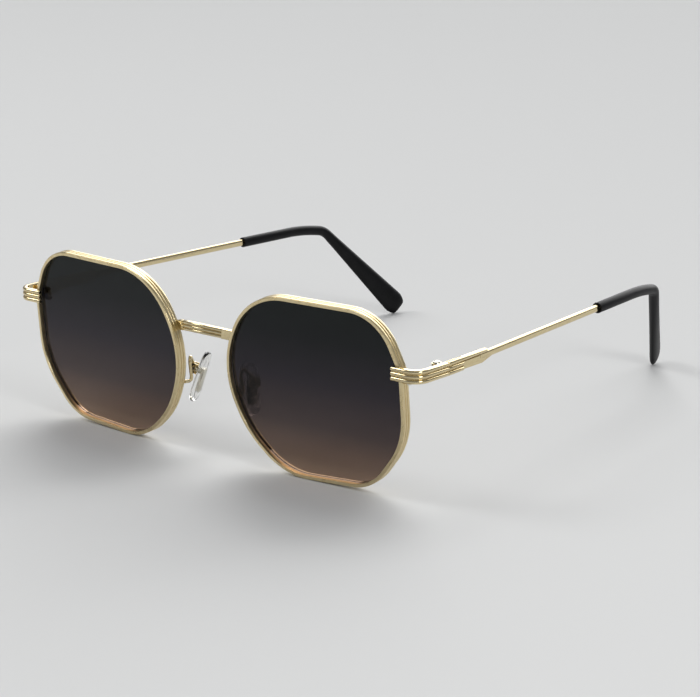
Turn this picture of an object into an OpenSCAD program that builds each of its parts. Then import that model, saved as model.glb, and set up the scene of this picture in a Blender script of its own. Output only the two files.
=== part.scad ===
// Square metal sunglasses, open and standing on the rims and the temple tips.
// Millimetres. +X is the wearer's left, -Y is the way the lenses face, +Z is up from the table.
// Every piece is drawn on the wearer's left and mirrored for the right.

/* [Lens] */
// Widest width of one lens
lens_width = 53; // [51:0.5:55]
// Clear distance between the two lenses
lens_gap = 18.6; // [18.2:0.2:20.6]
// Lens thickness
lens_thick = 1.4; // [1.2:0.1:1.5]
// Height of the tongue on the lens edge that sits in the rim's groove
lens_tongue = 0.38; // [0.3:0.02:0.5]

/* [Rim] */
// Rim wall seen from the front
rim_wall = 0.9; // [0.9:0.05:1.2]
// Rim depth from front to back
rim_depth = 2.9; // [2.8:0.1:3.2]
// Width of each of the two fine grooves around the rim's outside
rim_groove = 0.3; // [0.2:0.05:0.4]
// How far each lens turns back towards its temple, degrees
face_wrap = 3.1; // [0:0.5:5]
// How far the front leans forward when the glasses stand on a table, degrees
front_lean = 3.4; // [2.4:0.2:4.4]

/* [Ribbed band] */
// Radius of one rib of the endpieces and temples
rib_r = 0.55; // [0.5:0.01:0.56]
// Distance from one rib to the next
rib_pitch = 1.2; // [1.15:0.01:1.25]
// Thickness of the flat strip behind the ribs
band_base = 0.75; // [0.65:0.05:0.9]

/* [Bridge] */
// Radius of one rib of the bridge
bridge_rib_r = 0.42; // [0.38:0.01:0.43]
// Distance from one rib of the bridge to the next
bridge_pitch = 0.88; // [0.88:0.01:0.95]
// Height of the bridge's ends above the middle of the lenses
bridge_height = 10.7; // [9.7:0.5:11.7]
// How far the middle of the bridge stands forward of its ends
bridge_bow = 2.6; // [2:0.1:3.2]
// How far the middle of the bridge rises above its ends
bridge_rise = 1.2; // [0.6:0.1:1.6]
// How far the bridge's ends lie behind the lens centres
bridge_set = -0.1; // [-0.6:0.1:0.4]

/* [Endpiece] */
// Distance from the lens edge out to the side of the endpiece
endpiece_reach = 7.1; // [6.9:0.2:8.5]
// Outside radius of the endpiece's turn from the front to the side
endpiece_bend = 4.2; // [3.6:0.2:5]
// Height of the hinge above the middle of the lenses
hinge_height = 8.5; // [7.5:0.25:9.5]
// Distance of the hinge axis behind the lenses
hinge_back = 10.6; // [10.2:0.2:12]
// How far the temples slope down from square to the lenses, degrees
temple_slope = 5.3; // [4.3:0.5:6.8]

/* [Hinge] */
// Radius of the hinge barrel
knuckle_r = 1.25; // [1.1:0.05:1.35]
// Height of the whole barrel
barrel_height = 2.8; // [2.6:0.1:3.4]
// Radius of the hinge screw
hinge_screw_r = 0.6; // [0.5:0.05:0.7]
// Radial running clearance round the screws
screw_fit = 0.04; // [0.02:0.01:0.08]

/* [Temple] */
// Length of the three ribs on the temple
rib_length = 6.5; // [4:0.5:7]
// Length of the top rib, which runs on over the plate
plate_length = 16.5; // [14:0.5:19]
// How far the plate turns in, degrees
plate_toe = 3; // [1:0.5:4.5]
// How far the rod turns in, degrees
rod_toe = 5.2; // [4.7:0.5:6.2]
// Length of bare rod between the plate and the tip
rod_length = 55.5; // [51.5:1:59.5]
// Thickness of the rod, seen from above
rod_thick = 1.4; // [1.2:0.1:1.6]
// Height of the rod, seen from the side
rod_height = 1.9; // [1.7:0.1:2.2]

/* [Temple tip] */
// Radius of the round front part of the tip
tip_r = 1.45; // [1.4:0.05:1.7]
// Length of the straight front part of the tip
tip_straight = 18.5; // [16:0.5:21]
// How far the tip droops gently before its bend, degrees
tip_droop = 12; // [8:1:14]
// Radius of the gentle droop
tip_droop_r = 60; // [50:2:70]
// Radius of the bend behind the ear
tip_bend_r = 5; // [4.5:0.5:8]
// How far the tip has turned down after its bend, degrees
tip_bend = 52; // [49:1:55]
// How far the bend turns in towards the head, degrees
tip_roll = 22; // [16:1:26]
// Width of the flared end
paddle_width = 7; // [5.4:0.2:7.6]
// Thickness of the flared end
paddle_thick = 2.4; // [2.2:0.1:2.7]
// How far the flared end turns to lie along the head, degrees
paddle_turn = 20; // [10:2:26]

/* [Nose pad] */
// Height of the nose pad
pad_height = 13.8; // [12.4:0.2:15]
// Width of the nose pad
pad_width = 6; // [5.6:0.1:7]
// Thickness of the nose pad
pad_thick = 1.8; // [1.6:0.1:2]
// Radius of the wire of the pad arm
wire_r = 0.45; // [0.4:0.05:0.5]
// Radius of the pad screw
pad_screw_r = 0.45; // [0.4:0.05:0.5]

/* [Output] */
// Which piece to draw

/* [Hidden] */
$fn = 96;

// Gap left where two pieces are brazed or pressed together
seat = 0.02;
// Gap between pieces that move past each other
clear = 0.08;
// Corner circles stand this little proud of the straight sides, so that the two cross cleanly
cross_over = 0.002;
// The sphere at a joint between two lengths of sleeve stands this little proud of both
collar = 0.015;
// Thinnest overshoot of a cutting shape
over = 1;

// The lens outline: eight straight sides, each given by the way it faces, its distance from the
// lens centre, and the radius of the corner after it, going round from the top side outwards.
side_turn = [90, 23.5, 0, -38.5, -87.5, -131.5, -158, -206.5];
side_reach = [22.8, 28.1, 26.5, 26.05, 22.6, 24.55, 25.5, 26.9];
corner_round = [12.5, 9.5, 19.5, 13, 18, 25, 22, 18];
lens_k = lens_width / 53;
sides = len(side_turn);
lens_cx = lens_gap / 2 + 26.5 * lens_k;

function way(turn) = [cos(turn), sin(turn)];
function facing(i) = way(side_turn[i % sides]);
function gap_turn(i) = (side_turn[i % sides] - side_turn[(i + 1) % sides] + 360) % 360;
function mid_turn(i) = side_turn[i % sides] - gap_turn(i) / 2;
function reach(i, r) = side_reach[i % sides] * lens_k - r;
function corner_r(i) = corner_round[i % sides] * lens_k;
// Centre of the corner between side i and the next, where both sides set in by r would meet
function corner_at(i, r) =
    let (a = side_turn[i % sides], b = side_turn[(i + 1) % sides], p = reach(i, r), q = reach(i + 1, r))
    [p * sin(b) - q * sin(a), q * cos(a) - p * cos(b)] / sin(b - a);

// Turns of a point about the three axes, for the sizes that follow from the pose
function about_x(v, a) = [v[0], v[1] * cos(a) - v[2] * sin(a), v[1] * sin(a) + v[2] * cos(a)];
function about_y(v, a) = [v[0] * cos(a) + v[2] * sin(a), v[1], v[2] * cos(a) - v[0] * sin(a)];
function about_z(v, a) = [v[0] * cos(a) - v[1] * sin(a), v[0] * sin(a) + v[1] * cos(a), v[2]];

// Rim
rim_lip = 0.2;
rim_bite = 0.14;
// How far the rims stand forward of the plane everything is measured from
rim_set = 0.7;
// How far the lens lies behind the rim's front edge
lens_set = 1.2;
lens_side = 26.5 * lens_k;
tongue_wide = 0.6;
tongue_y = lens_set + lens_thick / 2 - tongue_wide / 2;
lock_gap = 0.16;
lock_z = 8.2;
lock_tall = 1.1;
lock_screw_r = 0.45;
lock_x = lens_side + rim_wall + 0.9;
lock_y = rim_depth - 1.15;

// Height of the lens centres above the table
low_corner = corner_at(4, corner_r(4));
low_z = low_corner[1] - corner_r(4) - rim_wall;
low_y = low_corner[0] * sin(face_wrap) + (rim_lip - rim_set) * cos(face_wrap);
stand_height = -(low_z * cos(front_lean) + low_y * sin(front_lean));

// Ribbed band
band_thick = band_base + rib_r - 0.05;
rib_centre = band_base - 0.05;
band_half = rib_pitch + rib_r;

// Sides of the frame
side_x = lens_cx + lens_side + endpiece_reach;
hinge_inset = 3.1;
hinge_x = side_x - hinge_inset;
hinge_pos = [hinge_x, hinge_back, hinge_height];
joint_y = 0.9;
limb_face = -0.5;
limb_front = -(hinge_back - limb_face) / cos(temple_slope);
limb_end = lens_cx + lens_side - 1.6 - hinge_x;

// Hinge
leaf = 0.9;
leaf_length = 5.2;
leaf_half = 1.3;
knuckle_half = barrel_height / 6 - clear / 2;
head_r = 1;
head_height = 0.35;

// Temple
plate_start = joint_y + clear;
rod_rise = 0.3;
shoulder = 5;
core_r = 0.6;
// How far the lever's face lies outside the middle of the ribbed band
lever_out = band_thick / 2 - 0.22;
core_length = 12;

// Temple tip
edge_r = paddle_thick / 2;
flare_half = paddle_width / 2 - edge_r;
end_half = 0.72 * flare_half;
// Carries a point from the tip's own frame, with the rod along +Y, to the temple's frame
function tip_to_temple(v) =
    about_z(about_y(v, tip_roll) + [0, rod_length, 0], rod_toe)
    + [hinge_inset - band_thick / 2 - plate_length * sin(plate_toe),
       plate_start + plate_length * cos(plate_toe), rod_rise];
// Carries a point from the temple's frame to the front's frame, and from there to upright
function temple_to_front(v) = hinge_pos + about_x(v, -temple_slope);
function upright(v) = about_x(v, front_lean) + [0, 0, stand_height];
droop_mid = [0, tip_straight, -tip_droop_r];
bend_mid = droop_mid + (tip_droop_r - tip_bend_r) * [0, sin(tip_droop), cos(tip_droop)];
bend_in = bend_mid + tip_bend_r * [0, sin(tip_droop), cos(tip_droop)];
bend_out = bend_mid + tip_bend_r * [0, sin(tip_bend), cos(tip_bend)];
drop_way = [0, cos(tip_bend), -sin(tip_bend)];
wide_way = [-sin(paddle_turn), cos(paddle_turn) * sin(tip_bend), cos(paddle_turn) * cos(tip_bend)];
function height_at(v) = upright(temple_to_front(tip_to_temple(bend_out + v)))[2];
low_edge = -end_half * wide_way;
end_high = height_at(low_edge) - edge_r;
paddle_length = end_high / (height_at(low_edge) - height_at(low_edge + drop_way)) + edge_r;

// Middle of the whole depth, from the front of the bridge to the back of the tips
tip_back = upright(temple_to_front(tip_to_temple(bend_out + paddle_length * drop_way)))[1];
front_most = upright([0, bridge_set - bridge_bow, bridge_height + bridge_rise + bridge_pitch + bridge_rib_r])[1];
stand_mid = (tip_back + front_most) / 2;

// Nose pads
pad_at = [lens_gap / 2 - 0.8, 6.8, -4.4];
pad_splay = 20;
pad_lean = 17;
pad_flare = 14;
box_x = 2.25;
box_size = [2.1, 2.4, 2.6];
screw_x = box_x - 0.25;
insert_thick = 0.5;
insert_wide = 2.8;
insert_low = -5.6;
eye_half = 0.62;
eye_r = 0.75;
pad_fall = 1.5;
// Carries a point from the pad's frame to the front's frame
function pad_to_front(v) = pad_at + about_y(about_x(about_z(v, -pad_splay), -pad_lean), -pad_flare);

// Materials
gold = [0.87, 0.80, 0.62];
steel = [0.80, 0.76, 0.66];
smoke = [0.22, 0.18, 0.19, 0.75];
black = [0.05, 0.05, 0.055];
clear_soft = [0.90, 0.90, 0.88, 0.6];

// Frames

// Puts the front, drawn square to its own lenses, on the table
module stand() {
    translate([0, -stand_mid, stand_height]) rotate([front_lean, 0, 0]) children();
}

// Frame of the left lens: x out to the temple, z up, y back through the lens
module at_lens() {
    translate([lens_cx, 0, 0]) rotate([0, 0, face_wrap]) translate([0, -rim_set, 0]) children();
}

// Frame of the left temple: origin on the hinge axis, y along the open temple
module at_temple() {
    translate(hinge_pos) rotate([-temple_slope, 0, 0]) children();
}

// Frame of the left nose pad: z along the pad, x away from the nose
module at_pad() {
    translate(pad_at) rotate([-pad_lean, -pad_flare, 0]) rotate([0, 0, -pad_splay]) children();
}

module right() {
    mirror([1, 0, 0]) children();
}

// A flat shape drawn in x and z, from depth y0 to y1
module slab(y0, y1) {
    translate([0, y1, 0]) rotate([90, 0, 0]) linear_extrude(y1 - y0) children();
}

// Shared shapes

// The lens outline, moved out by grow all round
module lens_shape(grow) {
    polygon([for (i = [sides - 1 : -1 : 0], end = [1, 0])
        corner_at(i, corner_r(i)) + (corner_r(i) + grow) * facing(i + end)]);
    for (i = [0 : sides - 1]) translate(corner_at(i, corner_r(i))) intersection() {
        circle(corner_r(i) + grow + cross_over);
        polygon([[0, 0], 2 * corner_r(i) * way(mid_turn(i) - gap_turn(i) / 2 - 3),
                 2 * corner_r(i) * way(mid_turn(i)), 2 * corner_r(i) * way(side_turn[i] + 3)]);
    }
}

// Cross-section of a three-ribbed band: x is outwards from its back, y is along its height
module band_shape(r = rib_r, pitch = rib_pitch) {
    translate([0, -pitch - r]) square([band_base, 2 * (pitch + r)]);
    for (k = [-1 : 1]) translate([rib_centre, k * pitch]) circle(r);
}

// Everything the left rim fills, for coping what is brazed to it
module rim_room(gap) {
    at_lens() difference() {
        slab(-gap, rim_depth + gap) lens_shape(rim_wall + gap, $fn = 288);
        slab(-over, rim_depth + over) lens_shape(-3);
    }
}

// A round bar between two points
module bar(a, b, r) {
    v = b - a;
    translate(a) rotate([0, acos(v[2] / norm(v)), atan2(v[1], v[0])]) cylinder(r = r, h = norm(v));
}

// Front

// Eyewire: lens groove inside, two fine grooves outside, lipped front and back, closed by a lock
module rim() {
    third = (rim_depth - 2 * rim_lip) / 3;
    color(gold) at_lens() difference() {
        slab(0, rim_depth) lens_shape(rim_wall);
        slab(-over, rim_depth + over) lens_shape(0);
        // lens groove
        slab(tongue_y - seat, tongue_y + tongue_wide + seat) lens_shape(lens_tongue + 2 * seat);
        // front and back lips
        for (y = [rim_lip - over, rim_depth - rim_lip]) slab(y, y + over) rim_edge();
        // fine grooves
        for (k = [1, 2])
            slab(rim_lip + k * third - rim_groove / 2, rim_lip + k * third + rim_groove / 2) rim_edge();
        // the cut where the rim opens to take the lens
        translate([lens_side - over - 0.4, -over, lock_z - lock_gap / 2])
            cube([3 * over + 0.4, rim_depth + 2 * over, lock_gap]);
    }
}

// The outermost skin of the rim, for cutting its lips and grooves
module rim_edge() {
    difference() {
        lens_shape(rim_wall + over);
        lens_shape(rim_wall - rim_bite);
    }
}

// Tinted lens: flat faced, with a tongue all round that sits in the rim's groove
module lens() {
    color(smoke) at_lens() {
        slab(lens_set, lens_set + lens_thick) lens_shape(-seat);
        slab(tongue_y, tongue_y + tongue_wide) lens_shape(lens_tongue);
    }
}

// Three ribs side by side, bowed forward and up between the rims, plain where it meets them
module bridge() {
    half_span = lens_gap / 2 - 0.25;
    bow = norm([bridge_bow, bridge_rise]);
    tilt = atan2(bridge_rise, bridge_bow);
    face_r = (half_span * half_span + bow * bow) / (2 * bow);
    thick = rib_centre + bridge_rib_r;
    half = bridge_pitch + bridge_rib_r;
    back_r = face_r - thick;
    half_turn = asin((half_span + 0.6) / face_r);
    plain_turn = half_turn - asin((half_span - 2.2) / face_r);
    color(gold) difference() {
        translate([0, bridge_set, bridge_height]) rotate([-tilt, 0, 0]) translate([0, face_r - bow, 0]) {
            rotate_extrude(angle = 2 * half_turn, start = 270 - half_turn)
                translate([back_r, 0]) rotate(-tilt) band_shape(bridge_rib_r, bridge_pitch);
            for (s = [-1, 1])
                rotate_extrude(angle = plain_turn, start = 270 - plain_turn / 2 + s * (half_turn - plain_turn / 2))
                    translate([back_r, 0]) rotate(-tilt) translate([-0.03, -half - 0.03])
                        square([thick + 0.06, 2 * half + 0.06]);
        }
        rim_room(seat);
        right() rim_room(seat);
    }
}

// Ribbed band from the rim's front, round to the side and back to the hinge
module endpiece() {
    back_r = endpiece_bend - band_thick;
    bend_x = hinge_inset - endpiece_bend;
    bend_y = limb_front + endpiece_bend;
    color(gold) difference() {
        at_temple() translate([bend_x, bend_y, 0]) {
            rotate_extrude(angle = 90, start = 270) translate([back_r, 0]) band_shape();
            slab(0, joint_y - bend_y) translate([back_r, 0]) band_shape();
            rotate([90, 0, -90]) linear_extrude(bend_x - limb_end) translate([back_r, 0]) band_shape();
        }
        rim_room(seat);
    }
}

// Upper half of the closing block, brazed to the rim behind the endpiece
module lock_block_upper() {
    color(gold) lock_part(lock_z + lock_gap / 2, lock_z + lock_gap / 2 + lock_tall);
}

// Lower half, which the screw draws up to close the rim on the lens
module lock_block_lower() {
    color(gold) lock_part(lock_z - lock_gap / 2 - lock_tall, lock_z - lock_gap / 2);
}

// One half of the closing block, between two heights
module lock_part(z0, z1) {
    difference() {
        at_lens() translate([lock_x - 2, lock_y - 1.05, z0]) cube([3.1, 2.1, z1 - z0]);
        rim_room(seat);
        at_lens() translate([lock_x, lock_y, z0 - over]) cylinder(r = lock_screw_r + screw_fit, h = z1 - z0 + 2 * over);
    }
}

// Screw of the closing block, head underneath
module lock_screw() {
    bottom = lock_z - lock_gap / 2 - lock_tall;
    color(steel) at_lens() translate([lock_x, lock_y, bottom - 0.5]) difference() {
        union() {
            cylinder(r = 0.8, h = 0.5 - seat);
            cylinder(r = lock_screw_r, h = 0.5 + 2 * lock_tall + lock_gap);
        }
        translate([-over, -0.12, -over]) cube([2 * over, 0.24, over + 0.25]);
    }
}

// Hinge

// Frame of the hinge: upright in the front's own frame
module at_hinge() {
    translate(hinge_pos) children();
}

// Upper and lower knuckles with their leaf, brazed inside the endpiece
module hinge_front() {
    wall = hinge_inset - band_thick;
    color(gold) difference() {
        union() {
            at_hinge() for (z = [-barrel_height / 2, knuckle_half + clear])
                translate([0, 0, z]) cylinder(r = knuckle_r, h = barrel_height / 2 - knuckle_half - clear);
            intersection() {
                at_hinge() for (z = [-barrel_height / 2, knuckle_half + clear])
                    translate([0, -1.2, z]) cube([wall + 1, 1.2, barrel_height / 2 - knuckle_half - clear]);
                at_temple() translate([0, -3, -4]) cube([wall - seat, 6, 8]);
            }
            at_temple() translate([wall - leaf, -leaf_length, -leaf_half]) cube([leaf - seat, leaf_length - 0.8, 2 * leaf_half]);
        }
        at_hinge() cylinder(r = hinge_screw_r + screw_fit, h = 2 * barrel_height, center = true);
    }
}

// Middle knuckle with its leaf, brazed inside the temple
module hinge_temple() {
    wall = hinge_inset - band_thick;
    color(gold) difference() {
        union() {
            at_hinge() cylinder(r = knuckle_r, h = 2 * knuckle_half, center = true);
            at_hinge() translate([-0.4, 0.3, -knuckle_half]) cube([wall + 0.2, 1.9, 2 * knuckle_half]);
            at_temple() plate_frame() translate([-rod_thick / 2 - leaf, 0.5, -leaf_half])
                cube([leaf - seat, leaf_length, 2 * leaf_half]);
        }
        at_hinge() cylinder(r = hinge_screw_r + screw_fit, h = 2 * barrel_height, center = true);
        // keeps the leaf clear of the front knuckles
        at_hinge() for (s = [-1, 1]) translate([0, 0, s * (knuckle_half + seat + 2)])
            cylinder(r = knuckle_r + 2 * clear, h = 4, center = true);
    }
}

// Screw through the three knuckles, slotted head on top
module hinge_screw() {
    half = barrel_height / 2;
    color(steel) at_hinge() difference() {
        union() {
            translate([0, 0, -half]) cylinder(r = hinge_screw_r, h = 2 * half + seat);
            translate([0, 0, half + seat]) cylinder(r1 = head_r, r2 = head_r - 0.2, h = head_height);
        }
        translate([-over - head_r, -0.15, half + head_height - 0.2]) cube([2 * (over + head_r), 0.3, over]);
    }
}

// Temple

// Frame of the ribbed plate: origin in the middle of its front end, y along it
module plate_frame() {
    translate([hinge_inset - band_thick / 2, plate_start, 0]) rotate([0, 0, plate_toe]) children();
}

// Frame of the rod: origin at the plate's back end
module rod_frame() {
    translate([hinge_inset - band_thick / 2 - plate_length * sin(plate_toe),
               plate_start + plate_length * cos(plate_toe), rod_rise])
        rotate([0, 0, rod_toe]) children();
}

// A flat-sided bar with round top and bottom, running back from the origin
module rod_bar(length) {
    flat = rod_height / 2 - rod_thick / 2;
    slab(0, length) {
        for (s = [-1, 1]) translate([0, s * flat]) circle(rod_thick / 2);
        translate([-rod_thick / 2 + cross_over, -flat]) square([rod_thick - 2 * cross_over, 2 * flat]);
    }
}

// Three short ribs, the top one running on over a flat plate that narrows into the plain rod,
// with the thin core wire that the tip is pushed onto
module temple() {
    low = rod_rise - rod_height / 2;
    high = rod_rise + rod_height / 2;
    fall = tan(rod_toe - plate_toe);
    color(gold) at_temple() {
        plate_frame() {
            slab(0, rib_length) translate([-band_thick / 2, 0]) band_shape();
            slab(0, plate_length) translate([-band_thick / 2, rib_pitch]) {
                translate([0, -rib_r]) square([band_base, 2 * rib_r]);
                translate([rib_centre, 0]) circle(rib_r);
            }
            translate([cross_over - rod_thick / 2, 0, 0]) rotate([90, 0, 90])
                linear_extrude(rod_thick / 2 + rib_centre - band_thick / 2) polygon([
                    [rib_length - 2, -band_half + 0.3], [plate_length - 2, -band_half + 0.15],
                    [plate_length + shoulder / 2, low + 0.2], [plate_length + shoulder, low + rod_thick / 2],
                    [plate_length + shoulder, high - rod_thick / 2], [plate_length, high], [rib_length - 2, high]]);
            // raised face below the long rib, its lower edge set in a little
            translate([-rod_thick / 4, 0, 0]) rotate([90, 0, 90])
                linear_extrude(lever_out + rod_thick / 4) polygon([
                    [rib_length - 0.1, -band_half + 0.36], [plate_length - 2, -band_half + 0.21],
                    [plate_length + shoulder / 2, low + 0.26],
                    [plate_length + shoulder - 0.1, low + rod_thick / 2 + 0.06],
                    [plate_length + shoulder - 0.1, high - rod_thick / 2],
                    [plate_length + 1, rib_r], [rib_length - 0.1, rib_r]]);
        }
        rod_frame() {
            rod_bar(rod_length);
            translate([0, rod_length - over, 0]) rotate([-90, 0, 0]) cylinder(r = core_r, h = core_length + over);
        }
    }
}

// Soft sleeve: round, bent down and in behind the ear, flattening into a paddle with cut corners
module temple_tip() {
    color(black) at_temple() rod_frame() translate([0, rod_length, 0]) difference() {
        rotate([0, tip_roll, 0]) {
            translate([0, seat, 0]) rotate([-90, 0, 0]) cylinder(r = tip_r, h = tip_straight - seat);
            translate([0, tip_straight, 0]) sphere(tip_r + collar);
            translate(droop_mid) rotate([90, 0, -90])
                rotate_extrude(start = 90, angle = tip_droop) translate([tip_droop_r, 0]) circle(tip_r);
            translate(bend_in) sphere(tip_r + collar);
            translate(bend_mid) rotate([90, 0, -90])
                rotate_extrude(start = 90 + tip_droop, angle = tip_bend - tip_droop)
                    translate([tip_bend_r, 0]) circle(tip_r);
            translate(bend_out) rotate([-tip_bend, 0, 0]) rotate([0, -paddle_turn, 0]) {
                sphere(tip_r + collar);
                hull() {
                    translate([0, -0.4, 0]) sphere(tip_r - 0.04, $fn = 28);
                    for (s = [-1, 1]) {
                        translate([0, paddle_length - edge_r - 2, s * flare_half]) sphere(edge_r, $fn = 28);
                        translate([0, paddle_length - edge_r, s * end_half]) sphere(edge_r, $fn = 28);
                    }
                }
            }
        }
        // bore for the core wire, opened out at the mouth for the end of the rod
        translate([0, -over, 0]) rotate([-90, 0, 0]) cylinder(r = core_r + seat, h = core_length + over + 0.5);
    }
}

// Nose pads

// Bent wire: foot against the rim, up, over in a hairpin and down to the pad box
module pad_arm() {
    foot = pad_at + [0.7, -3.95, -1.3];
    top = foot + [0, 0, 5.3];
    second = top + [0.7, 1.3, 0];
    turn = second - top;
    color(gold) difference() {
        union() {
            bar(foot + [0.7, -1.2, 0], foot, wire_r);
            translate(foot) sphere(wire_r + cross_over);
            bar(foot, top, wire_r);
            translate(top) sphere(wire_r + cross_over);
            translate((top + second) / 2) rotate([0, 0, atan2(turn[1], turn[0])]) rotate([90, 0, 0])
                rotate_extrude(angle = 180) translate([norm(turn) / 2, 0]) circle(wire_r);
            translate(second) sphere(wire_r + cross_over);
            bar(second, pad_to_front([box_x + 0.7, 0, 0.6]), wire_r);
        }
        rim_room(seat);
        at_pad() translate([box_x, 0, 0]) cube(box_size + 2 * [seat, seat, seat], center = true);
    }
}

// Small box on the end of the arm, open towards the pad, crossed by the pad screw
module pad_box() {
    cheek = 0.45;
    color(gold) at_pad() difference() {
        translate([box_x, 0, 0]) cube(box_size, center = true);
        translate([box_x - cheek, 0, 0])
            cube([box_size[0], box_size[1] - 2 * cheek, box_size[2] + over], center = true);
        translate([screw_x, 0, 0]) rotate([90, 0, 0])
            cylinder(r = pad_screw_r + screw_fit, h = 2 * box_size[1], center = true);
    }
}

// Slotted screw on which the pad rocks
module pad_screw() {
    half = box_size[1] / 2;
    color(steel) at_pad() translate([screw_x, 0, 0]) rotate([90, 0, 0]) difference() {
        union() {
            translate([0, 0, -half]) cylinder(r = pad_screw_r, h = 2 * half + seat);
            translate([0, 0, half + seat]) cylinder(r = 0.7, h = 0.35);
        }
        translate([-over, -0.1, half + 0.2]) cube([2 * over, 0.2, over]);
    }
}

// Metal insert moulded into the pad, with the eye that the screw passes through
module pad_insert() {
    color(steel) at_pad() {
        translate([-insert_thick / 2, -insert_wide / 2, insert_low])
            cube([insert_thick, insert_wide, eye_r - insert_low]);
        difference() {
            union() {
                translate([0, -eye_half, -eye_r]) cube([screw_x, 2 * eye_half, 2 * eye_r]);
                translate([screw_x, 0, 0]) rotate([90, 0, 0]) cylinder(r = eye_r, h = 2 * eye_half, center = true);
            }
            translate([screw_x, 0, 0]) rotate([90, 0, 0])
                cylinder(r = pad_screw_r + screw_fit, h = 2 * box_size[1], center = true);
        }
    }
}

// Soft clear pad: an upright oval, narrower at the top, domed on the side that meets the nose
module nose_pad() {
    low_r = pad_width / 2;
    high_r = low_r * 0.82;
    dome_r = 14;
    color(clear_soft) at_pad() difference() {
        translate([0, -0.6, -pad_fall]) intersection() {
            rotate([90, 0, 90]) linear_extrude(2 * pad_thick, center = true) pad_shape(low_r, high_r, pad_height / 2);
            translate([dome_r - pad_thick / 2, 0, 0]) union() {
                sphere(dome_r);
                cylinder(r = dome_r, h = 8, center = true);
            }
            translate([-pad_thick, -pad_height, -pad_height])
                cube([1.5 * pad_thick, 2 * pad_height, 2 * pad_height]);
        }
        translate([-insert_thick / 2 - seat, -insert_wide / 2 - seat, insert_low - seat])
            cube([insert_thick + 2 * seat, insert_wide + 2 * seat, eye_r - insert_low + 2 * seat]);
        translate([0, -eye_half - seat, -eye_r - seat]) cube([pad_thick, 2 * (eye_half + seat), 2 * (eye_r + seat)]);
    }
}

// Two circles joined by their outer tangents
module pad_shape(low_r, high_r, rise) {
    a = low_r - rise;
    b = rise - high_r;
    lean = asin((low_r - high_r) / (b - a));
    translate([0, a]) circle(low_r + cross_over);
    translate([0, b]) circle(high_r + cross_over);
    polygon([[low_r * cos(lean), a + low_r * sin(lean)], [high_r * cos(lean), b + high_r * sin(lean)],
             [-high_r * cos(lean), b + high_r * sin(lean)], [-low_r * cos(lean), a + low_r * sin(lean)]]);
}

// Pieces

stand() rim();  // rim_left
stand() right() rim();  // rim_right
stand() lens();  // lens_left
stand() right() lens();  // lens_right
stand() bridge();
stand() endpiece();  // endpiece_left
stand() right() endpiece();  // endpiece_right
stand() lock_block_upper();  // lock_block_upper_left
stand() right() lock_block_upper();  // lock_block_upper_right
stand() lock_block_lower();  // lock_block_lower_left
stand() right() lock_block_lower();  // lock_block_lower_right
stand() lock_screw();  // lock_screw_left
stand() right() lock_screw();  // lock_screw_right
stand() hinge_front();  // hinge_front_left
stand() right() hinge_front();  // hinge_front_right
stand() hinge_screw();  // hinge_screw_left
stand() right() hinge_screw();  // hinge_screw_right
stand() pad_arm();  // pad_arm_left
stand() right() pad_arm();  // pad_arm_right
stand() pad_box();  // pad_box_left
stand() right() pad_box();  // pad_box_right
stand() pad_screw();  // pad_screw_left
stand() right() pad_screw();  // pad_screw_right
stand() pad_insert();  // pad_insert_left
stand() right() pad_insert();  // pad_insert_right
stand() nose_pad();  // nose_pad_left
stand() right() nose_pad();  // nose_pad_right
stand() hinge_temple();  // hinge_temple_left
stand() right() hinge_temple();  // hinge_temple_right
stand() temple();  // temple_left
stand() right() temple();  // temple_right
stand() temple_tip();  // temple_tip_left
stand() right() temple_tip();  // temple_tip_right
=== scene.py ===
import math

import bmesh
import bpy
from mathutils import Matrix, Vector


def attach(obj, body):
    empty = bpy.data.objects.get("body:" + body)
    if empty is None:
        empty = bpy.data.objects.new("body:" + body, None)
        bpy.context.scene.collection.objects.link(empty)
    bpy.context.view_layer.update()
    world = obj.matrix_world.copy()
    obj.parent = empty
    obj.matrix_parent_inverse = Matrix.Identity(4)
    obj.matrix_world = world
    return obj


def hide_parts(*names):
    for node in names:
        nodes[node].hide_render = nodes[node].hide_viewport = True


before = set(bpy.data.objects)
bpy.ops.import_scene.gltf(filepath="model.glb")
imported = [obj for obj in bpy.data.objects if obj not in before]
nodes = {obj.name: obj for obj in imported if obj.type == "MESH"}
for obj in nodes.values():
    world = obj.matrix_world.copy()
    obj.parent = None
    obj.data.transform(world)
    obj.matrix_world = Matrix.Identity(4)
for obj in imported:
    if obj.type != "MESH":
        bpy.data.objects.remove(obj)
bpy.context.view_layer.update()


# Eyewires. Each is one length of copper-nickel wire, drawn through a die to a flat section with two fine
# grooves down its outside and the lens groove inside, bent round to the lens outline, closed behind the
# endpiece, brushed along its length and plated pale gold. All sizes here are in millimetres and degrees.
def turn(degrees, axis):
    """A turn, as a step in a piece's pose."""
    return Matrix.Rotation(math.radians(degrees), 4, axis)


def shift(x, y, z):
    """A move, as a step in a piece's pose."""
    return Matrix.Translation((x, y, z))


# the front stands leaning a little on its rims, and each lens is turned a little outwards
front_place = (0, -65.8996, 23.7013)
front_lean = 3.4
lens_out = 35.8
lens_wrap = 3.1
rim_forward = 0.7
front_pose = Matrix.Scale(0.001, 4) @ shift(*front_place) @ turn(front_lean, "X")
lens_pose = front_pose @ shift(lens_out, 0, 0) @ turn(lens_wrap, "Z") @ shift(0, -rim_forward, 0)

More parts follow.
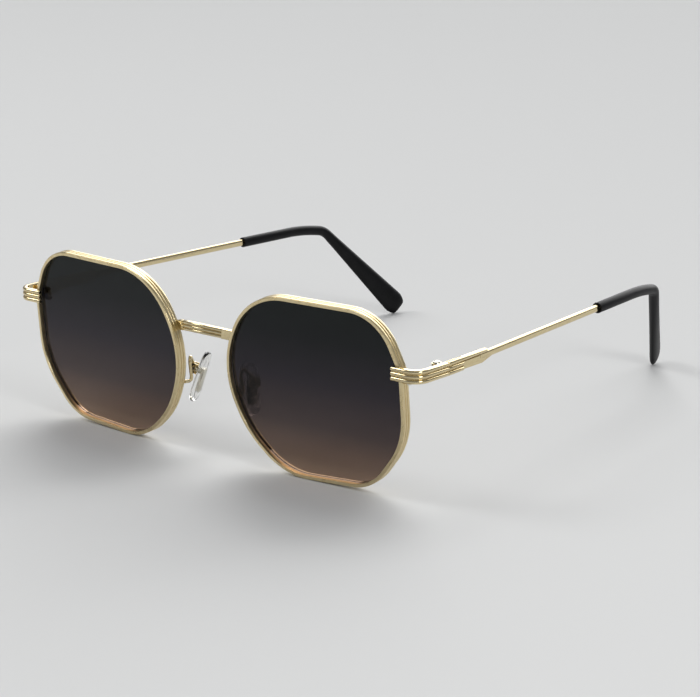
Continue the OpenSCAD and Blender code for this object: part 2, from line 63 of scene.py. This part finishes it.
# the way each of the eight sides faces, its distance from the lens's middle, and the corner's round after it
side_turn = [90, 23.5, 0, -38.5, -87.5, -131.5, -158, -206.5]
side_reach = [22.8, 28.1, 26.5, 26.05, 22.6, 24.55, 25.5, 26.9]
corner_round = [12.5, 9.5, 19.5, 13, 18, 25, 22, 18]
corner_step = 2.5
wire_wall = 0.9
wire_depth = 2.9
wire_lip = 0.2
wire_bite = 0.14
wire_groove = 0.3
wire_edge = 0.045
wire_room = (0.998, 0.99, 0.998)
lens_groove = (1.58, 2.22)
lens_groove_depth = 0.42
slit_height = 8.2
slit_width = 0.16


def linear(hex_colour):
    """Turns an sRGB hex colour to the linear one that a shader takes."""
    channels = [int(hex_colour[i:i + 2], 16) / 255 for i in (1, 3, 5)]
    return (*[c / 12.92 if c <= 0.04045 else ((c + 0.055) / 1.055) ** 2.4 for c in channels], 1.0)


def node(tree, kind, links=(), **values):
    """Adds one node, sets its inputs and joins the given outputs to them."""
    made = tree.nodes.new(kind)
    for name, value in values.items():
        made.inputs[name.replace("_", " ")].default_value = value
    for source, target in links:
        tree.links.new(source, made.inputs[target])
    return made


def grained(name, grain, detail, tones, roughs):
    """A finish whose tone and roughness follow one noise, so fine for each millimetre of x, y and z."""
    material = bpy.data.materials.new(name)
    material.use_nodes = True
    tree = material.node_tree
    shader = tree.nodes["Principled BSDF"]
    place = node(tree, "ShaderNodeTexCoord")
    stretch = node(tree, "ShaderNodeMapping", [(place.outputs["Object"], "Vector")],
                   Scale=[1000.0 * fineness for fineness in grain])
    marks = node(tree, "ShaderNodeTexNoise", [(stretch.outputs["Vector"], "Vector")],
                 Scale=1.0, Detail=detail)
    tone = node(tree, "ShaderNodeValToRGB", [(marks.outputs["Fac"], "Fac")])
    for end, (level, colour) in zip(tone.color_ramp.elements, tones):
        end.position, end.color = level, linear(colour)
    rough = node(tree, "ShaderNodeMapRange", [(marks.outputs["Fac"], "Value")],
                 To_Min=roughs[0], To_Max=roughs[1])
    tree.links.new(tone.outputs["Color"], shader.inputs["Base Color"])
    tree.links.new(rough.outputs["Result"], shader.inputs["Roughness"])
    return material, shader, marks


def gold_plate(name, grain, roughs):
    """Champagne gold plate: a pale, cool gold, its fine lines a shade lighter and darker and just raised."""
    material, shader, lines = grained(name, grain, 3.0, ((0.3, "#D6C397"), (0.7, "#E7D7AE")), roughs)
    shader.inputs["Metallic"].default_value = 1.0
    tree = material.node_tree
    bump = node(tree, "ShaderNodeBump", [(lines.outputs["Fac"], "Height")], Strength=0.06, Distance=0.00001)
    tree.links.new(bump.outputs["Normal"], shader.inputs["Normal"])
    return material


def only(piece):
    """Selects this piece and nothing else."""
    if bpy.context.mode != "OBJECT":
        bpy.ops.object.mode_set(mode="OBJECT")
    bpy.ops.object.select_all(action="DESELECT")
    piece.select_set(True)
    bpy.context.view_layer.objects.active = piece


def edit(piece):
    """Opens this piece for editing, with all of it selected."""
    only(piece)
    bpy.ops.object.mode_set(mode="EDIT")
    bpy.ops.mesh.select_all(action="SELECT")


def pick(kind, test):
    """In edit mode, selects the faces, edges or points whose middle passes the test."""
    bpy.ops.mesh.select_mode(type=kind)
    bpy.ops.mesh.select_all(action="DESELECT")
    mesh = bpy.context.edit_object.data
    cage = bmesh.from_edit_mesh(mesh)
    if kind == "FACE":
        for face in cage.faces:
            face.select_set(test(face.calc_center_median()))
    elif kind == "EDGE":
        for edge in cage.edges:
            edge.select_set(test((edge.verts[0].co + edge.verts[1].co) / 2))
    else:
        for point in cage.verts:
            point.select_set(test(point.co))
    cage.select_flush_mode()
    bmesh.update_edit_mesh(mesh)


def push(x, y, z):
    """Extrudes what is selected."""
    bpy.ops.mesh.extrude_region_move(TRANSFORM_OT_translate={"value": (x, y, z)})


def sweep(degrees, centre, axis, steps):
    """Extrudes what is selected round an axis, turning by the right-hand rule."""
    bpy.ops.mesh.spin(steps=steps, angle=-math.radians(degrees), center=centre, axis=axis)


def size(x, y, z, centre=(0, 0, 0)):
    """Scales what is selected from a point."""
    bpy.ops.transform.resize(value=(x, y, z), center_override=centre)


def tidy(piece):
    """Merges doubles and turns every face outwards."""
    edit(piece)
    bpy.ops.mesh.select_mode(type="VERT")
    bpy.ops.mesh.select_all(action="SELECT")
    bpy.ops.mesh.remove_doubles(threshold=0.002)
    bpy.ops.mesh.normals_make_consistent(inside=False)
    bpy.ops.object.mode_set(mode="OBJECT")


def soften(piece, width, segments=2, angle=35):
    """Rounds the sharp edges over."""
    only(piece)
    bevel = piece.modifiers.new("soft_edges", "BEVEL")
    bevel.width = width
    bevel.segments = segments
    bevel.limit_method = "ANGLE"
    bevel.angle_limit = math.radians(angle)
    bpy.ops.object.modifier_apply(modifier=bevel.name)


def settle(piece, name, pose, material, body, replaced):
    """Puts a finished piece where it belongs and has it stand for its frame solids."""
    only(piece)
    piece.name = piece.data.name = name
    piece.matrix_world = pose @ piece.matrix_world
    bpy.ops.object.transform_apply(location=True, rotation=True, scale=True)
    bpy.ops.object.shade_smooth_by_angle(angle=math.radians(32))
    piece.data.materials.clear()
    piece.data.materials.append(material)
    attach(piece, body)
    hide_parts(*replaced)
    return piece


def mirrored(piece, name, body, replaced):
    """The right-hand piece: a copy of the left one with its own mesh, mirrored across the nose."""
    copy = bpy.data.objects.new(name, piece.data.copy())
    bpy.context.scene.collection.objects.link(copy)
    edit(copy)
    size(-1, 1, 1)
    bpy.ops.mesh.flip_normals()
    bpy.ops.object.mode_set(mode="OBJECT")
    copy.data.name = name
    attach(copy, body)
    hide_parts(*replaced)


def both(piece, name, pose, material, bodies=("front", "front")):
    """Settles the left piece and makes the right one."""
    left = settle(piece, f"{name}_left_dressed", pose, material, bodies[0], [f"{name}_left"])
    mirrored(left, f"{name}_right_dressed", bodies[1], [f"{name}_right"])


def facing(i):
    """The way side i faces."""
    angle = math.radians(side_turn[i % 8])
    return Vector((math.cos(angle), 0, math.sin(angle)))


def corner(i):
    """Centre of the corner after side i, and how far the wire turns round it."""
    a, b = math.radians(side_turn[i % 8]), math.radians(side_turn[(i + 1) % 8])
    p, q = side_reach[i % 8] - corner_round[i % 8], side_reach[(i + 1) % 8] - corner_round[i % 8]
    x, z = p * math.sin(b) - q * math.sin(a), q * math.cos(a) - p * math.cos(b)
    return Vector((x, 0, z)) / math.sin(b - a), math.degrees(a - b) % 360


# the wire's section, cut out of a plane standing across the start of the top side
start = corner(7)[0] + corner_round[7] * facing(0)
bpy.ops.object.select_all(action="DESELECT")
bpy.ops.mesh.primitive_plane_add(size=1, rotation=(0, math.pi / 2, 0))
rim = bpy.context.object
bpy.ops.object.transform_apply(rotation=True)
edit(rim)
size(1, wire_depth, wire_wall)
bpy.ops.transform.translate(value=(start.x, wire_depth / 2, start.z + wire_wall / 2))
third = (wire_depth - 2 * wire_lip) / 3
cuts = [wire_lip, wire_depth - wire_lip, *lens_groove]
cuts += [wire_lip + k * third + s * wire_groove / 2 for k in (1, 2) for s in (-1, 1)]
for y in cuts:
    bpy.ops.mesh.select_all(action="SELECT")
    bpy.ops.mesh.bisect(plane_co=(0, y, 0), plane_no=(0, 1, 0))
for z in (lens_groove_depth, wire_wall - wire_bite):
    bpy.ops.mesh.select_all(action="SELECT")
    bpy.ops.mesh.bisect(plane_co=(0, 0, start.z + z), plane_no=(0, 0, 1))


def cut_away(middle):
    """Tells whether a patch of the section is in a groove or outside its lips."""
    out, y = middle.z - start.z, middle.y
    if out < lens_groove_depth:
        return lens_groove[0] < y < lens_groove[1]
    if out < wire_wall - wire_bite:
        return False
    fine = any(abs(y - wire_lip - k * third) < wire_groove / 2 for k in (1, 2))
    return y < wire_lip or y > wire_depth - wire_lip or fine


pick("FACE", cut_away)
bpy.ops.mesh.delete(type="FACE")
bpy.ops.mesh.select_all(action="SELECT")
bpy.ops.mesh.dissolve_limited(angle_limit=math.radians(1))
bpy.ops.mesh.select_all(action="SELECT")
bpy.ops.mesh.delete(type="ONLY_FACE")
bpy.ops.mesh.select_mode(type="EDGE")
bpy.ops.mesh.select_all(action="SELECT")

# drawn along each side and round each corner, back to its own start
at = start
for i in range(8):
    centre, bend = corner(i)
    leave = centre + corner_round[i] * facing(i)
    push(*(leave - at))
    sweep(bend, centre, (0, 1, 0), steps=max(4, round(bend / corner_step)))
    at = centre + corner_round[i] * facing(i + 1)
tidy(rim)

# the cut beside the endpiece, where the closing screw draws the wire tight
edit(rim)
for s in (-1, 1):
    bpy.ops.mesh.select_all(action="SELECT")
    bpy.ops.mesh.bisect(plane_co=(0, 0, slit_height + s * slit_width / 2), plane_no=(0, 0, 1))
pick("FACE", lambda m: m.x > 0 and abs(m.z - slit_height) < slit_width / 2 - 0.001)
bpy.ops.mesh.delete(type="FACE")
for s in (-1, 1):
    level = slit_height + s * slit_width / 2
    pick("EDGE", lambda m: m.x > 0 and abs(m.z - level) < 0.001)
    bpy.ops.mesh.edge_face_add()
bpy.ops.object.mode_set(mode="OBJECT")

# what the wire and its lens fill, a hair smaller, for coping the pieces brazed against it
bpy.ops.object.select_all(action="DESELECT")
rim_room = bpy.data.objects.new("rim_room", rim.data.copy())
bpy.context.scene.collection.objects.link(rim_room)
edit(rim_room)
bpy.ops.mesh.convex_hull()
bpy.ops.mesh.select_all(action="SELECT")
size(*wire_room, (0, wire_depth / 2, 0))
bpy.ops.object.mode_set(mode="OBJECT")

# Brushing leaves a soft satin gleam that runs round the wire. Its real lines, about 0.02 mm apart, are drawn
# 0.125 mm apart to show, and each is about 4 mm long.
soften(rim, wire_edge)
rim_gold = gold_plate("champagne_gold_plate_brushed_round", (0.25, 8.0, 0.25), (0.22, 0.36))
both(rim, "rim", lens_pose, rim_gold)

# Lenses. Flat tinted sheet, dyed by lowering it into the bath so that the top is nearly black and the foot a
# clear warm brown, then polished and coated. The frame solid has the right shape, and is only finished here.
lens_top = 0.047  # in metres, as Object coordinates are
# The dye falls smoothly from near black to brown. The index, below the bare sheet's 1.5, gives the weak
# reflection of a coated lens, so that its top stays dark in a pale room.
tint = bpy.data.materials.new("tinted_sheet_gradient")
tint.use_nodes = True
tree = tint.node_tree
shader = tree.nodes["Principled BSDF"]
shader.inputs["Roughness"].default_value = 0.0
shader.inputs["IOR"].default_value = 1.28
shader.inputs["Transmission Weight"].default_value = 1.0
place = node(tree, "ShaderNodeTexCoord")
axes = node(tree, "ShaderNodeSeparateXYZ", [(place.outputs["Object"], "Vector")])
height = node(tree, "ShaderNodeMapRange", [(axes.outputs["Z"], "Value")], From_Max=lens_top)
dye = node(tree, "ShaderNodeValToRGB", [(height.outputs["Result"], "Fac")])
ramp = dye.color_ramp
ramp.elements[0].position, ramp.elements[0].color = 0.0, linear("#947C6A")
ramp.elements[1].position, ramp.elements[1].color = 1.0, linear("#0D1312")
for level, colour in ((0.12, "#6E5B50"), (0.3, "#483E3D"), (0.55, "#2B272D"), (0.8, "#131618")):
    ramp.elements.new(level).color = linear(colour)
tree.links.new(dye.outputs["Color"], shader.inputs["Base Color"])
for side in ("left", "right"):
    nodes[f"lens_{side}"].data.materials.clear()
    nodes[f"lens_{side}"].data.materials.append(tint)

# Bridge. Three round wires side by side on a thin strip, bowed forward and up over the nose, and pressed flat
# where they are brazed to the rims. Copper-nickel, polished where the rims are brushed, and plated with them.
bridge_rib = 0.42
bridge_pitch = 0.88
bridge_sink = 0.05
strip = 0.75
bridge_round = 15.7325
bridge_back = bridge_round - 1.12
# half the bow's angle, which ends just inside the rims until it is coped, and the angle of a pressed end
bridge_half = 39.4
bridge_plain = 13.6
bridge_tilt = 24.775
bridge_forward = 2.6
bridge_up = 1.2
end_thick = 1.18
end_middle = 0.56
end_proud = 0.06
end_round = 0.2
coping_depth = 1.6
bridge_place = (0, -0.1, 10.7)
bridge_pose = (front_pose @ shift(*bridge_place) @ turn(-bridge_tilt, "X")
               @ shift(0, bridge_round - math.hypot(bridge_forward, bridge_up), 0))
across_x = (0, math.pi / 2, 0)
across_y = (math.pi / 2, 0, 0)


def swing(degrees, axis, centre):
    """Turns what is selected about a point, by the right-hand rule."""
    bpy.ops.transform.rotate(value=-math.radians(degrees), orient_axis=axis, center_override=centre)


def cope(piece, pose, sides=(1,), deeper=1.0):
    """Cuts away what would run into the rim, or past it behind where deeper is over 1."""
    for side in sides:
        room_pose = Matrix.Diagonal((side, 1, 1, 1)) @ lens_pose @ Matrix.Diagonal((1, deeper, 1, 1))
        rim_room.matrix_world = pose.inverted() @ room_pose
        bpy.context.view_layer.update()
        only(piece)
        cut = piece.modifiers.new("coped", "BOOLEAN")
        cut.operation = "DIFFERENCE"
        cut.object = rim_room
        bpy.ops.object.modifier_apply(modifier=cut.name)


def ring(radius, location, rotation, points=28):
    """Adds a filled circle to the mesh being edited, or starts a new one."""
    bpy.ops.mesh.primitive_circle_add(vertices=points, radius=radius, fill_type="NGON",
                                      location=location, rotation=rotation)


def sheet(high, wide, location):
    """Adds a rectangle of that height and width standing across the x axis."""
    bpy.ops.mesh.primitive_plane_add(size=1, location=location, rotation=across_x)
    size(1, wide, high, location)


def joined(parts):
    """Makes several parts one piece."""
    only(parts[0])
    for part in parts:
        part.select_set(True)
    bpy.ops.object.join()
    return parts[0]


def blank(name):
    """An empty mesh, open for editing."""
    piece = bpy.data.objects.new(name, bpy.data.meshes.new(name))
    bpy.context.scene.collection.objects.link(piece)
    only(piece)
    bpy.ops.object.mode_set(mode="EDIT")
    return piece


parts = []
for k in (-1, 0, 1, None):
    part = blank("bridge_wire")
    if k is None:
        sheet(2 * (bridge_pitch + bridge_rib), strip, (0, -bridge_back - strip / 2, 0))
    else:
        ring(bridge_rib, (0, -bridge_back - strip + bridge_sink, k * bridge_pitch), across_x)
    swing(bridge_tilt, "X", (0, -bridge_back, 0))
    swing(-bridge_half, "Z", (0, 0, 0))
    sweep(2 * bridge_half, (0, 0, 0), (0, 0, 1), steps=30)
    parts.append(part)
for s in (-1, 1):
    part = blank("bridge_end")
    sheet(2 * (bridge_pitch + bridge_rib) + end_proud, end_thick, (0, -bridge_back - end_middle, 0))
    swing(bridge_tilt, "X", (0, -bridge_back, 0))
    swing(s * bridge_half, "Z", (0, 0, 0))
    sweep(-s * bridge_plain, (0, 0, 0), (0, 0, 1), steps=8)
    tidy(part)
    soften(part, end_round, segments=3)
    parts.append(part)
for part in parts:
    tidy(part)
    cope(part, bridge_pose, (1, -1), coping_depth)
# Polishing leaves bright streaks along the wires. Its hairlines, really finer, are drawn 0.2 mm apart.
bridge_gold = gold_plate("champagne_gold_plate_polished_wires", (0.25, 5.0, 5.0), (0.1, 0.2))
settle(joined(parts), "bridge_dressed", bridge_pose, bridge_gold, "front", ["bridge"])

# Endpieces. Three wires on a strip, a size larger than the bridge's, run from the front of the rim round to
# the side and back to the hinge, with their ends rounded over. Brazed to the rim, polished and plated.
rib = 0.55
rib_pitch = 1.2
band_back = 2.95
rib_path = 3.65
front_run = 4.5
side_run = 7.8477
rib_round = 0.18
strip_round = 0.05
hinge_place = (66.3, 10.6, 8.5)
temple_slope = 5.3
band_bend = (-1.1, -6.9477, 0)
temple_pose = front_pose @ shift(*hinge_place) @ turn(-temple_slope, "X")
endpiece_pose = temple_pose @ shift(*band_bend)
parts = []
for k in (-1, 0, 1, None):
    part = blank("endpiece_wire")
    if k is None:
        sheet(2 * (rib_pitch + rib), strip, (-front_run, -band_back - strip / 2, 0))
    else:
        ring(rib, (-front_run, -rib_path, k * rib_pitch), across_x)
    push(front_run, 0, 0)
    sweep(90, (0, 0, 0), (0, 0, 1), steps=20)
    push(0, side_run, 0)
    tidy(part)
    soften(part, strip_round if k is None else rib_round, segments=3, angle=60)
    tidy(part)
    cope(part, endpiece_pose)
    parts.append(part)
both(joined(parts), "endpiece", endpiece_pose, bridge_gold)

# Temples. Three short wires continue the endpiece's. The top one runs on over a flat lever that narrows into
# a flattened wire, with a thin core inside the sleeve. Drawn wire and strip, brazed, polished and plated.
rib_run = 6.5
lever_run = 16.5
lever_face = 0.405
lever_back = -0.698
lever_base = 0.077
lever_edge = 0.1
rib_out = 0.075
strip_out = -0.25
face_back = -0.3
shoulder = 5
rod_thick = 1.4
rod_high = 1.9
rod_run = 55.5
rod_rise = 0.3
rod_lead = 3
rod_thinned = (0.6, 1, 0.7)
rod_inside = -0.12
core = 0.6
core_run = 12
lever_out = 2.475
lever_start = 0.98
lever_toe = 3
rod_toe = 5.2
lever_pose = temple_pose @ shift(lever_out, lever_start, 0) @ turn(lever_toe, "Z")
rod_pose = (temple_pose @ shift(lever_out - lever_run * math.sin(math.radians(lever_toe)),
                                lever_start + lever_run * math.cos(math.radians(lever_toe)), rod_rise)
            @ turn(rod_toe, "Z"))
parts = []
for k in (-1, 0, 1):
    part = blank("temple_wire")
    ring(rib, (rib_out, 0, k * rib_pitch), across_y)
    push(0, lever_run if k == 1 else rib_run, 0)
    tidy(part)
    soften(part, rib_round, segments=3, angle=60)
    parts.append(part)
for high, middle, run in ((2 * (rib_pitch + rib), 0, rib_run), (2 * rib, rib_pitch, lever_run)):
    part = blank("temple_strip")
    bpy.ops.mesh.primitive_plane_add(size=1, location=(strip_out, 0, middle), rotation=across_y)
    size(strip, 1, high, (strip_out, 0, middle))
    push(0, run, 0)
    tidy(part)
    soften(part, strip_round)
    parts.append(part)

# the lever: a plate cut to its outline, its lower edge running up to the wire's, and its raised face
low, high = rod_rise - rod_high / 2, rod_rise + rod_high / 2
end = lever_run + shoulder
foot_edge = [(lever_run - 2, -1.55), (lever_run + shoulder / 2, low + 0.2),
             (end, low + 0.7), (end, high - 0.7)]
plate = [(rib_run - 2, -1.45), *foot_edge, (lever_run, high), (rib_run - 2, high)]
face = [(rib_run - 0.1, -1.4), *foot_edge, (lever_run + 1, rib), (rib_run - 0.1, rib)]
for outline, back, front in ((plate, lever_back, lever_base), (face, face_back, lever_face)):
    part = blank("lever")
    bpy.ops.mesh.primitive_circle_add(vertices=len(outline), fill_type="NGON", rotation=across_x)
    for point, (y, z) in zip(bmesh.from_edit_mesh(part.data).verts, outline):
        point.co = (back, y, z)
    push(front - back, 0, 0)
    tidy(part)
    soften(part, lever_edge, segments=3)
    parts.append(part)

# the flattened wire, thinned where it enters the lever, and its core
rod = blank("rod")
ring(rod_thick / 2, (0, -rod_lead, 0), across_y, points=32)
for s in (-1, 1):
    pick("VERT", lambda m: s * m.z > 0.001)
    bpy.ops.transform.translate(value=(0, 0, s * (rod_high - rod_thick) / 2))
pick("FACE", lambda m: True)
size(*rod_thinned, (rod_inside, -rod_lead, 0))
push(0, rod_lead, 0)
size(1 / rod_thinned[0], 1, 1 / rod_thinned[2], (rod_inside, 0, 0))
push(0, rod_run, 0)
push(0, 0, 0)
size(2 * core / rod_thick, 1, 2 * core / rod_high, (0, rod_run, 0))
push(0, core_run, 0)
tidy(rod)
rod.matrix_world = lever_pose.inverted() @ rod_pose
# Drawing and polishing leave straight streaks, really finer than the 0.17 mm at which they are drawn to show.
temple_gold = gold_plate("champagne_gold_plate_polished_lengthwise", (6.0, 0.25, 6.0), (0.13, 0.24))
temples = ("temple_left", "temple_right")
both(joined([*parts, rod]), "temple", lever_pose, temple_gold, temples)

# Sleeves on the temple ends. Black acetate rod, drilled, pushed on warm over the core, bent down and in
# behind the ear and flattened to a paddle with rounded corners, then tumbled.
tip_r = 1.45
tip_straight = 18.5
droop_r = 60
droop = 12
bend_r = 5
bend = 52
paddle_twist = 20
sleeve_roll = 22
mouth_lip = 0.12
mouth_wall = 0.25
mouth_deep = 0.6
tip_edge = 0.12
droop_mid = Vector((0, tip_straight, -droop_r))


def round_x(radius, degrees):
    """A point on a circle in the y and z plane, measured from its top."""
    angle = math.radians(degrees)
    return Vector((0, radius * math.sin(angle), radius * math.cos(angle)))


bend_mid = droop_mid + round_x(droop_r - bend_r, droop)
bent = shift(*(bend_mid + round_x(bend_r, bend))) @ turn(-bend, "X") @ turn(-paddle_twist, "Y")
unbent = bent.inverted()
tip = blank("tip")
ring(tip_r, (0, 0, 0), across_y, points=40)
run, thick, wide = 0, tip_r, tip_r
# distance along the paddle, then half its thickness and half its width there
for next_run, next_thick, next_wide in ((4, 1.42, 1.68), (10, 1.37, 2.08), (20, 1.3, 2.76),
                                        (30.2, 1.24, 3.44), (31.2, 1.2, 3.42), (32.3, 1.12, 3.1),
                                        (33.1, 0.95, 2.72), (33.55, 0.68, 2.36), (33.76, 0.34, 1.98)):
    push(0, next_run - run, 0)
    size(next_thick / thick, 1, next_wide / wide, (0, next_run, 0))
    run, thick, wide = next_run, next_thick, next_wide
# from the paddle's start back round the bend and the droop to the mouth, which is sunk round the core
pick("FACE", lambda m: abs(m.y) < 0.001 and math.hypot(m.x, m.z) < 0.5)
bend_axis = unbent.to_3x3() @ Vector((1, 0, 0))
sweep(bend - droop, unbent @ bend_mid, bend_axis, steps=14)
sweep(droop, unbent @ droop_mid, bend_axis, steps=10)
push(*(unbent.to_3x3() @ Vector((0, -tip_straight, 0))))
bpy.ops.mesh.inset(thickness=mouth_lip)
bpy.ops.mesh.inset(thickness=mouth_wall)
push(*(unbent.to_3x3() @ Vector((0, mouth_deep, 0))))
tidy(tip)
soften(tip, tip_edge, segments=3, angle=50)
# Tumbling leaves an even satin that clouds a little every 4 mm, over a grain drawn at 0.17 mm to show.
sleeve, shader, clouds = grained("tumbled_black_acetate", (0.26, 0.26, 0.26), 4.0,
                                 ((0.35, "#08080A"), (0.7, "#111113")), (0.36, 0.5))
shader.inputs["IOR"].default_value = 1.48
shader.inputs["Specular IOR Level"].default_value = 0.2
tree = sleeve.node_tree
place = node(tree, "ShaderNodeTexCoord")
satin = node(tree, "ShaderNodeTexNoise", [(place.outputs["Object"], "Vector")], Scale=6000.0, Detail=2.0)
bump = node(tree, "ShaderNodeBump", [(satin.outputs["Fac"], "Height")], Strength=0.1, Distance=0.00002)
tree.links.new(bump.outputs["Normal"], shader.inputs["Normal"])
tip_pose = rod_pose @ shift(0, rod_run, 0) @ turn(sleeve_roll, "Y") @ bent
both(tip, "temple_tip", tip_pose, sleeve, temples)

# Nose pads. Clear soft silicone moulded round a small metal insert: a flat back, a gently domed face towards
# the nose, rolled edges, wider at the foot. It rocks a little on its screw.
pad_r = 3.0
pad_top = 2.46
pad_half = 6.9
pad_narrow = 0.917
pad_thick = 1.45
pad_front = -0.55
pad_edge = 0.6
pad_offset = (0, -0.6, -1.5)
# each step in from the pad's edge, and how much its face rises there
pad_dome = ((0.7, 0.16), (0.7, 0.1), (0.6, 0.06))
pad_spot = (8.5, 6.8, -4.4)
pad_splay = 14
pad_rake = 17
pad_flare = 20
pad_place = shift(*pad_spot) @ turn(-pad_splay, "Y") @ turn(-pad_rake, "X") @ turn(-pad_flare, "Z")
pad = blank("pad")
ring(pad_r, (pad_front, 0, 0), across_x, points=48)
pick("VERT", lambda m: abs(m.z) < 0.001)
size(1, pad_narrow, 1)
pick("VERT", lambda m: m.z > 0.001)
size(1, pad_top / pad_r, pad_top / pad_r)
bpy.ops.transform.translate(value=(0, 0, pad_half - pad_top))
pick("VERT", lambda m: m.z < -0.001)
bpy.ops.transform.translate(value=(0, 0, pad_r - pad_half))
pick("FACE", lambda m: True)
push(pad_thick, 0, 0)
tidy(pad)
soften(pad, pad_edge, segments=6, angle=50)
edit(pad)
pick("FACE", lambda m: m.x < pad_front + 0.001)
for inset, rise in pad_dome:
    bpy.ops.mesh.inset(thickness=inset, depth=rise)
bpy.ops.mesh.select_all(action="SELECT")
bpy.ops.transform.translate(value=pad_offset)
tidy(pad)
# Silicone is clear and a little milky, and its moulded skin dulls softly in patches about 2 mm across.
silicone, shader, clouds = grained("clear_moulded_silicone", (0.5, 0.5, 0.5), 2.0,
                                   ((0.3, "#F1F0EC"), (0.75, "#FBFBFA")), (0.03, 0.1))
shader.inputs["Transmission Weight"].default_value = 1.0
shader.inputs["IOR"].default_value = 1.41
pads = ("nose_pad_left", "nose_pad_right")
both(pad, "nose_pad", front_pose @ pad_place, silicone, pads)

# Pad arms. Spring wire, brazed to the back of the rim, bent up, over in a hairpin and down to the pad's box,
# so that the pads can be set in or out with pliers. Polished and plated.
arm_r = 0.45
foot = Vector((9.2, 2.85, -5.7))
hairpin_up = Vector((0, 0, 5.3))
hairpin_across = Vector((0.7, 1.3, 0))
hairpin_bend = Vector((0, 0, 0.738))
box_spot = Vector((2.95, 0, 0.6))
top = foot + hairpin_up
second = top + hairpin_across
over = (top + second) / 2 + hairpin_bend
box_end = pad_place @ box_spot
# the wire's middle line, from inside the rim, where it is coped, to the box
path = [foot + Vector((0.5, -2.1, 0)), foot + Vector((0.1, -0.15, 0.05)), foot + Vector((0, 0, 0.6)),
        foot.lerp(top, 0.5), top, over, second, second.lerp(box_end, 0.5), box_end]
wire = bpy.data.curves.new("pad_arm", "CURVE")
wire.dimensions = "3D"
wire.bevel_depth = arm_r
wire.bevel_resolution = 5
wire.resolution_u = 8
wire.use_fill_caps = True
bends = wire.splines.new("BEZIER")
bends.bezier_points.add(len(path) - 1)
for point, place in zip(bends.bezier_points, path):
    point.co = place
    point.handle_left_type = point.handle_right_type = "AUTO"
arm = bpy.data.objects.new("pad_arm", wire)
bpy.context.scene.collection.objects.link(arm)
only(arm)
bpy.ops.object.convert(target="MESH")
arm = bpy.context.object
tidy(arm)
cope(arm, front_pose)
both(arm, "pad_arm", front_pose, temple_gold)

# Small brazed pieces: the two halves of each closing block, the hinge knuckles on their leaves, and the boxes
# that hold the pads. Pressed from sheet and turned from bar, with their edges broken, plated with the frame.
block_edge = 0.08


def broken_edges(name, width, material, body):
    """A copy of a frame solid, welded, with its edges broken."""
    piece = bpy.data.objects.new(f"{name}_dressed", nodes[name].data.copy())
    bpy.context.scene.collection.objects.link(piece)
    edit(piece)
    size(1000, 1000, 1000)
    bpy.ops.mesh.remove_doubles(threshold=0.002)
    bpy.ops.mesh.dissolve_limited(angle_limit=math.radians(1))
    bpy.ops.object.mode_set(mode="OBJECT")
    soften(piece, width)
    settle(piece, f"{name}_dressed", Matrix.Scale(0.001, 4), material, body, [name])


for side in ("left", "right"):
    for name in ("lock_block_upper", "lock_block_lower", "hinge_front", "pad_box"):
        broken_edges(f"{name}_{side}", block_edge, bridge_gold, "front")
    broken_edges(f"hinge_temple_{side}", block_edge, temple_gold, f"temple_{side}")

# Screws and pad inserts. Stainless steel, turned, slotted by saw and left bright; the screws are run in from
# above at the hinges, from below at the closing blocks and from behind at the pads.
screw_edge = 0.04
# Turning leaves a bright, slightly warm grey with fine marks, drawn 0.2 mm apart to show.
bright, shader, marks = grained("turned_stainless_steel", (5.0, 5.0, 5.0), 3.0,
                                ((0.3, "#C9C4B4"), (0.7, "#E3DFD2")), (0.12, 0.28))
shader.inputs["Metallic"].default_value = 1.0
for side in ("left", "right"):
    for name in ("lock_screw", "hinge_screw", "pad_screw"):
        broken_edges(f"{name}_{side}", screw_edge, bright, "front")
    broken_edges(f"pad_insert_{side}", screw_edge, bright, f"nose_pad_{side}")
bpy.data.objects.remove(rim_room)

# Table, light and camera. A pale matt sheet, two broad soft lights from above and behind that light it
# evenly, and two small soft boxes for the gleam on the metal. The camera was fitted to both lenses' outlines.
bpy.ops.object.select_all(action="DESELECT")
bpy.ops.mesh.primitive_plane_add(size=40)  # wide enough to fill every view
table = bpy.context.object
table.name = "table_top"
paper = bpy.data.materials.new("matt_pale_paper")
paper.use_nodes = True
shader = paper.node_tree.nodes["Principled BSDF"]
shader.inputs["Base Color"].default_value = linear("#D2D2D1")
shader.inputs["Roughness"].default_value = 0.9
table.data.materials.append(paper)

world = bpy.data.worlds.new("plain_studio")
bpy.context.scene.world = world
world.use_nodes = True
air = world.node_tree.nodes["Background"]
air.inputs["Color"].default_value = linear("#C9CCD0")
air.inputs["Strength"].default_value = 0.4

for name, spot, spread, strength in (("broad_light_above", (-0.35, 0.45, 0.9), 30, 0.8),
                                     ("broad_light_behind", (-0.3, 1.0, 0.5), 66, 2.4)):
    bpy.ops.object.light_add(type="SUN", location=spot)
    lamp = bpy.context.object
    lamp.name = name
    lamp.data.angle = math.radians(spread)
    lamp.data.energy = strength
    lamp.rotation_euler = (-Vector(spot)).to_track_quat("-Z", "Y").to_euler()
lit_point = Vector((0, 0, 0.02))
for name, spot, wide, power in (("softbox_side", (0.9, -0.25, 0.5), 0.3, 2.6),
                                ("softbox_front", (-0.75, -0.35, 0.8), 0.35, 2.6)):
    bpy.ops.object.light_add(type="AREA", location=spot)
    lamp = bpy.context.object
    lamp.name = name
    lamp.data.size = wide
    lamp.data.energy = power
    lamp.rotation_euler = (lit_point - Vector(spot)).to_track_quat("-Z", "Y").to_euler()

camera_data = bpy.data.cameras.new("studio_camera")
camera_data.lens = 131.908
camera_data.sensor_width = 36
camera_data.clip_start, camera_data.clip_end = 0.01, 10
camera = bpy.data.objects.new("studio_camera", camera_data)
camera.location = (0.432959, -0.521134, 0.212444)
camera.rotation_euler = [math.radians(a) for a in (73.6044, 1.4045, 39.8398)]
bpy.context.scene.collection.objects.link(camera)
bpy.context.scene.camera = camera
bpy.context.scene.view_settings.view_transform = "Standard"
